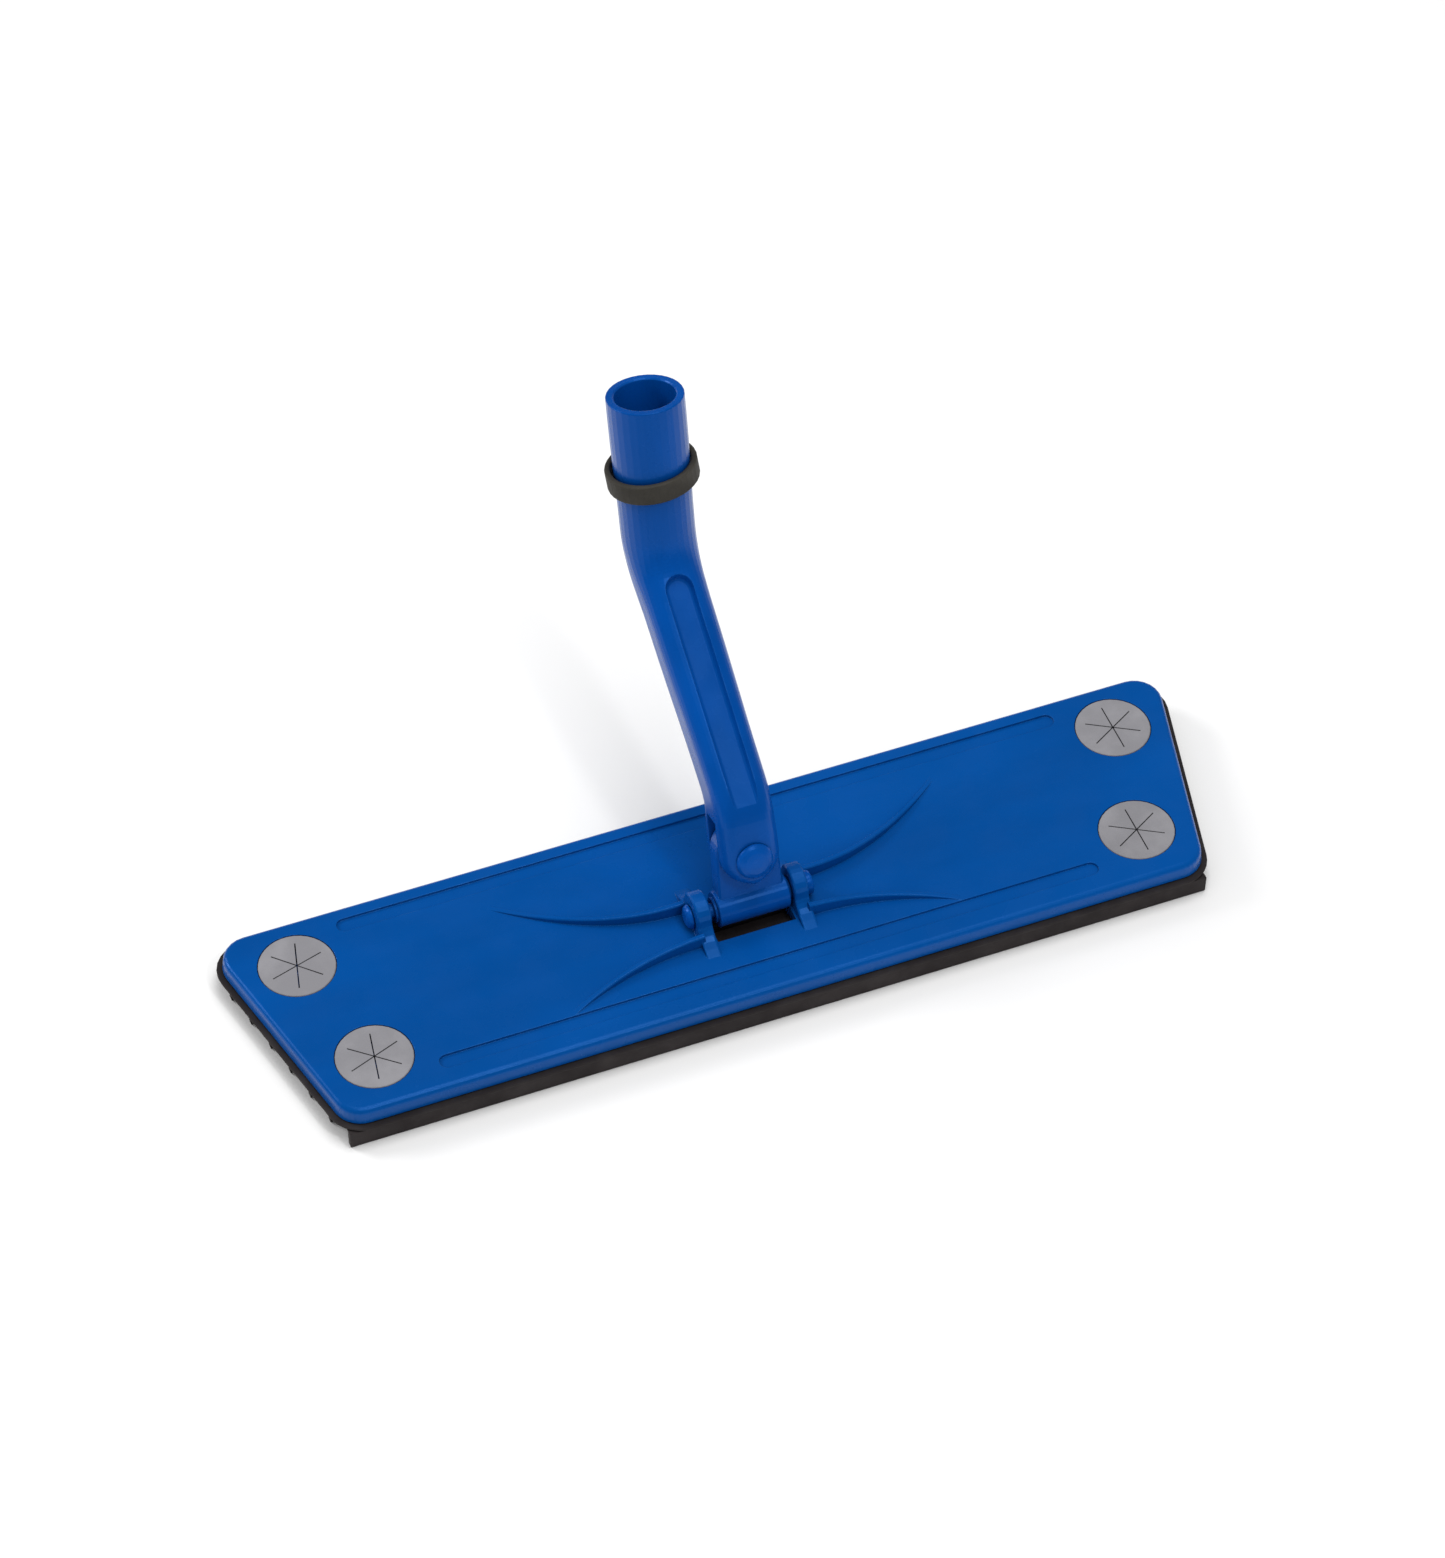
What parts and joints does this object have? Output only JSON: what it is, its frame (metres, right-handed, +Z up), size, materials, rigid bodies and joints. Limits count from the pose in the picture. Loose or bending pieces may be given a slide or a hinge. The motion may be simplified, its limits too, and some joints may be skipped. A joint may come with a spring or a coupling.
{
  "type": "swivel flat wall brush head",
  "caption": "Trapezoid wiping head on a rubber sole with strips, with rubber gripper discs on top and an S-shaped handle socket on a two-axis swivel joint.",
  "frame": {"origin": "on the surface that the strips stand on, in the middle of the fourth strip's tip, straight under the front-back hinge", "axes": "+X along the long side, to the right seen from the front; +Y towards the longer, back edge, the way the arm leans; +Z up, away from the surface being cleaned"},
  "size_m": [0.408, 0.1805, 0.1935],
  "materials": {
    "blue_plastic": "satin moulded plastic",
    "strip_rubber": "matte",
    "gripper_rubber": "matte",
    "ring_rubber": "matte"
  },
  "bodies": {
    "frame": {"base_plate": "blue_plastic", "rubber_sole": "strip_rubber", "lamella_1": "strip_rubber", "lamella_2": "strip_rubber", "lamella_3": "strip_rubber", "lamella_4": "strip_rubber", "lamella_5": "strip_rubber", "lamella_6": "strip_rubber", "lamella_7": "strip_rubber", "lamella_8": "strip_rubber", "gripper_front_left": "gripper_rubber", "gripper_front_right": "gripper_rubber", "gripper_back_left": "gripper_rubber", "gripper_back_right": "gripper_rubber", "hinge_axle": "blue_plastic", "axle_cap": "blue_plastic"},
    "knuckle": {"swivel_knuckle": "blue_plastic"},
    "handle": {"handle_arm": "blue_plastic", "socket_ring": "ring_rubber", "pivot_pin": "blue_plastic", "pivot_cap": "blue_plastic"}
  },
  "joints": [
    {"name": "front_back_hinge", "type": "hinge", "parent": "frame", "child": "knuckle", "pos_m": [0.0013, 0, 0.0226], "axis": [1, 0, 0], "range_deg": [-45, 75]},
    {"name": "side_pivot", "type": "hinge", "parent": "knuckle", "child": "handle", "pos_m": [0.0013, 0.00788, 0.04685], "axis": [0, -0.9511, 0.309], "range_deg": [-39, 41]}
  ]
}
